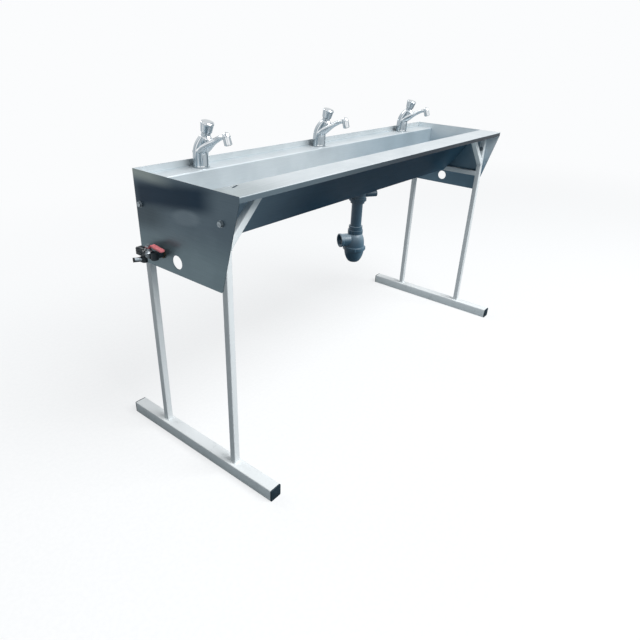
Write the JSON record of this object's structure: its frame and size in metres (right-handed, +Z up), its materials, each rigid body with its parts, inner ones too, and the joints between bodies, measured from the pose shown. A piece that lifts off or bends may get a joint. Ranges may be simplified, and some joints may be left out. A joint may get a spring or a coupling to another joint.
{
  "type": "trough sink",
  "caption": "Freestanding steel wash trough on tube leg frames, with push taps, a bottle trap, a knee-braced frame and a lever valve at its left end.",
  "frame": {"origin": "on the floor, under the middle of the whole object's box", "axes": "+X along the trough to the user's right, +Y from the user to the tap deck, +Z up"},
  "size_m": [1.6166, 0.633, 0.9625],
  "materials": {
    "stainless_sheet": "brushed stainless sheet",
    "frame_tube": "satin grey coating on steel tube",
    "black_plastic": "matt moulded plastic",
    "zinc_steel": "zinc plated steel",
    "chrome": "polished chrome on brass",
    "rubber": "matt rubber",
    "brass": "turned brass",
    "copper": "drawn copper pipe",
    "white_plastic": "white moulded plastic",
    "nickel": "nickel plated brass",
    "red_steel": "red coated steel lever",
    "red_plastic": "red dipped vinyl sleeve",
    "trap_plastic": "dark grey moulded polypropylene"
  },
  "bodies": {
    "root": {"trough_shell": "stainless_sheet", "left_end_panel": "stainless_sheet", "right_end_panel": "stainless_sheet", "left_base_tube": "frame_tube", "right_base_tube": "frame_tube", "left_tube_caps": "black_plastic", "right_tube_caps": "black_plastic", "left_rear_upright": "frame_tube", "left_front_upright": "frame_tube", "right_rear_upright": "frame_tube", "right_front_upright": "frame_tube", "left_side_bar": "frame_tube", "right_side_bar": "frame_tube", "left_brace": "frame_tube", "right_brace": "frame_tube", "frame_bolts": "zinc_steel", "frame_washers": "zinc_steel", "frame_nuts": "zinc_steel", "left_tap_body": "chrome", "middle_tap_body": "chrome", "right_tap_body": "chrome", "left_tap_cartridge": "chrome", "middle_tap_cartridge": "chrome", "right_tap_cartridge": "chrome", "tap_springs": "zinc_steel", "tap_aerators": "chrome", "tap_base_seals": "rubber", "tap_backnuts": "brass", "tap_washers": "white_plastic", "tap_connectors": "brass", "supply_pipes": "copper", "pipe_fittings": "copper", "pipe_clips": "white_plastic", "clip_screws": "zinc_steel", "bulkhead_nuts": "brass", "valve_body": "nickel", "inlet_elbow": "black_plastic", "inlet_tee": "black_plastic", "tee_cap": "black_plastic", "hose_tail": "nickel", "tail_seal": "rubber", "waste_strainer": "stainless_sheet", "waste_gasket": "rubber", "waste_body": "trap_plastic", "overflow_plug": "trap_plastic", "waste_backnut": "trap_plastic", "trap_inlet_nut": "trap_plastic", "waste_pipe": "trap_plastic", "trap_collar_nut": "trap_plastic", "trap_seal": "rubber", "trap_body": "trap_plastic", "trap_cup": "trap_plastic", "cup_seal": "rubber"},
    "lever": {"valve_ball": "nickel", "valve_lever": "red_steel", "lever_grip": "red_plastic", "lever_nut": "zinc_steel"},
    "left_button": {"left_tap_button": "chrome"},
    "middle_button": {"middle_tap_button": "chrome"},
    "right_button": {"right_tap_button": "chrome"}
  },
  "joints": [
    {"name": "left_button_press", "type": "slide", "parent": "root", "child": "left_button", "axis": [0, 0.2588, -0.9659], "range_m": [0, 0.006], "stiffness_N_per_m": 1000, "springref_m": -0.006},
    {"name": "middle_button_press", "type": "slide", "parent": "root", "child": "middle_button", "axis": [0, 0.2588, -0.9659], "range_m": [0, 0.006], "stiffness_N_per_m": 1000, "springref_m": -0.006},
    {"name": "right_button_press", "type": "slide", "parent": "root", "child": "right_button", "axis": [0, 0.2588, -0.9659], "range_m": [0, 0.006], "stiffness_N_per_m": 1000, "springref_m": -0.006},
    {"name": "valve_lever_turn", "type": "hinge", "parent": "root", "child": "lever", "pos_m": [-0.77873, 0.1085, 0.64], "axis": [0, 0, -1], "range_deg": [0, 90]}
  ]
}
